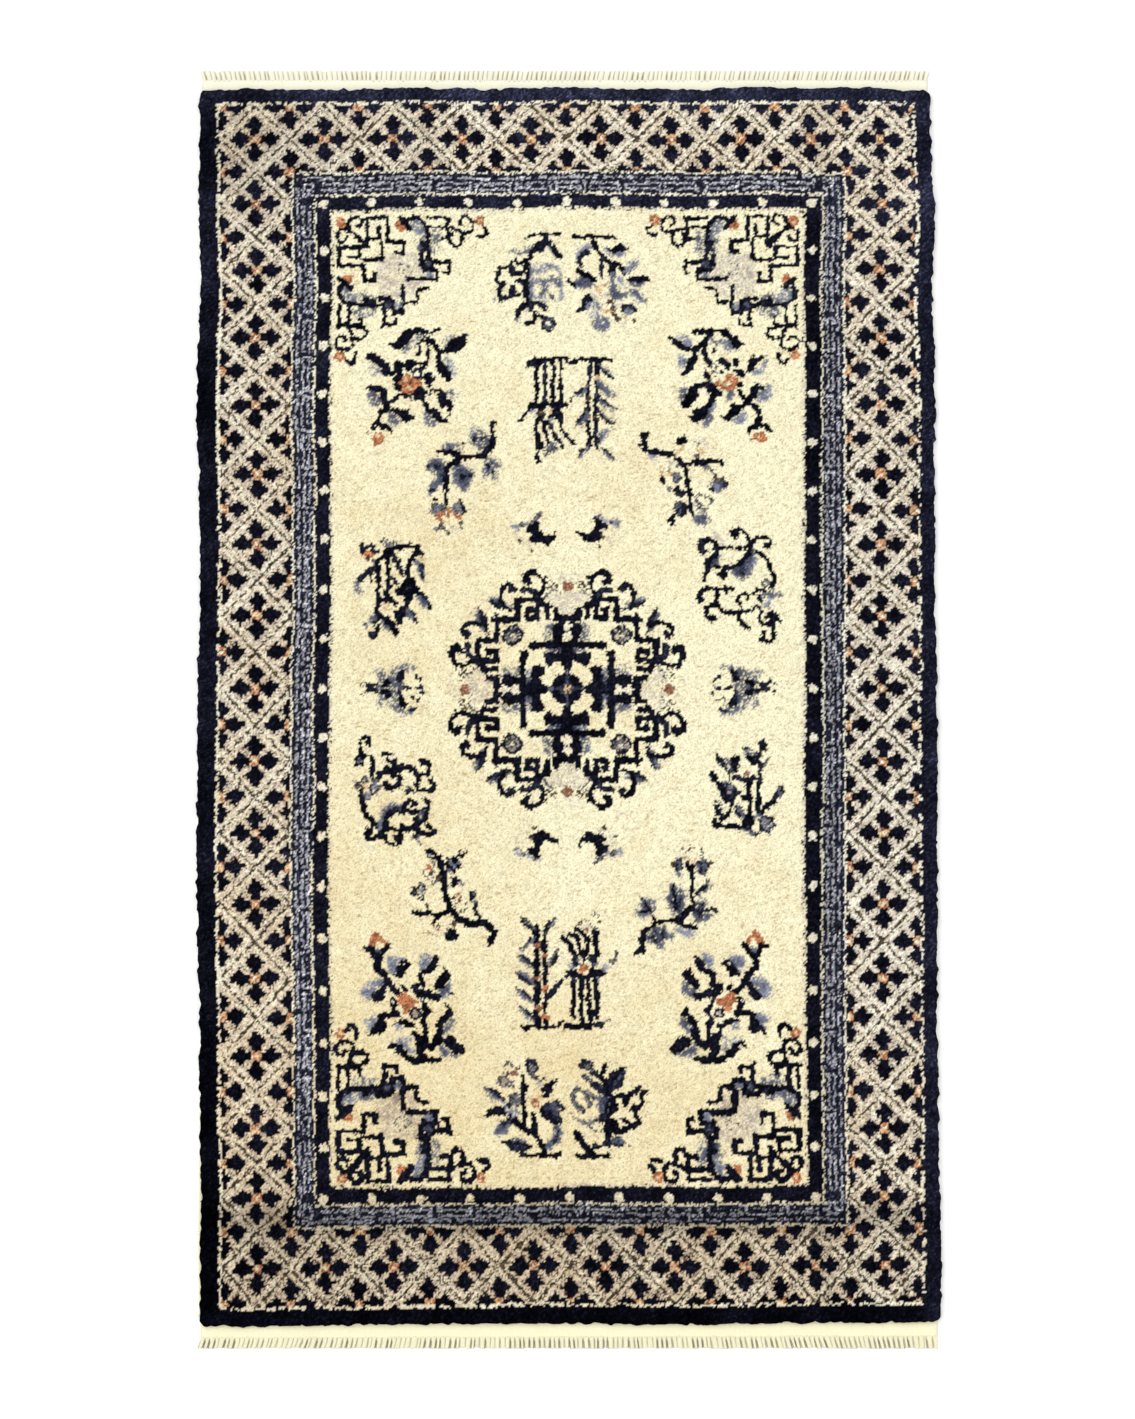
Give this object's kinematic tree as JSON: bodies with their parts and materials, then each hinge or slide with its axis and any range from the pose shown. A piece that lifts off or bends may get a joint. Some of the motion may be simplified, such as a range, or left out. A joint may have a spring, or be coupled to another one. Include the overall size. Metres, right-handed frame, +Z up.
{
  "type": "chinese art deco rug",
  "caption": "Hand-knotted wool pile rug in the old Peking manner, lying flat: navy edge, lattice and key-fret borders, cream field with a round medallion, cotton fringe at both short ends.",
  "frame": {"origin": "on the floor, under the middle of the rug's whole outline, fringe included", "axes": "+X across the rug to the right in the picture, +Y along the rug to the picture's top end, +Z up out of the pile"},
  "size_m": [0.9244, 1.5874, 0.0122],
  "materials": {
    "pile_wool": "matt clipped wool pile, cream with navy, slate blue and rust yarns",
    "selvedge_cotton": "matt wrapped cotton cord",
    "warp_cotton": "matt undyed cotton, flat weave and cut strands"
  },
  "bodies": {
    "root": {"pile_body": "pile_wool", "selvedge_left": "selvedge_cotton", "selvedge_right": "selvedge_cotton", "end_weave_top": "warp_cotton", "end_weave_bottom": "warp_cotton"}
  },
  "joints": []
}
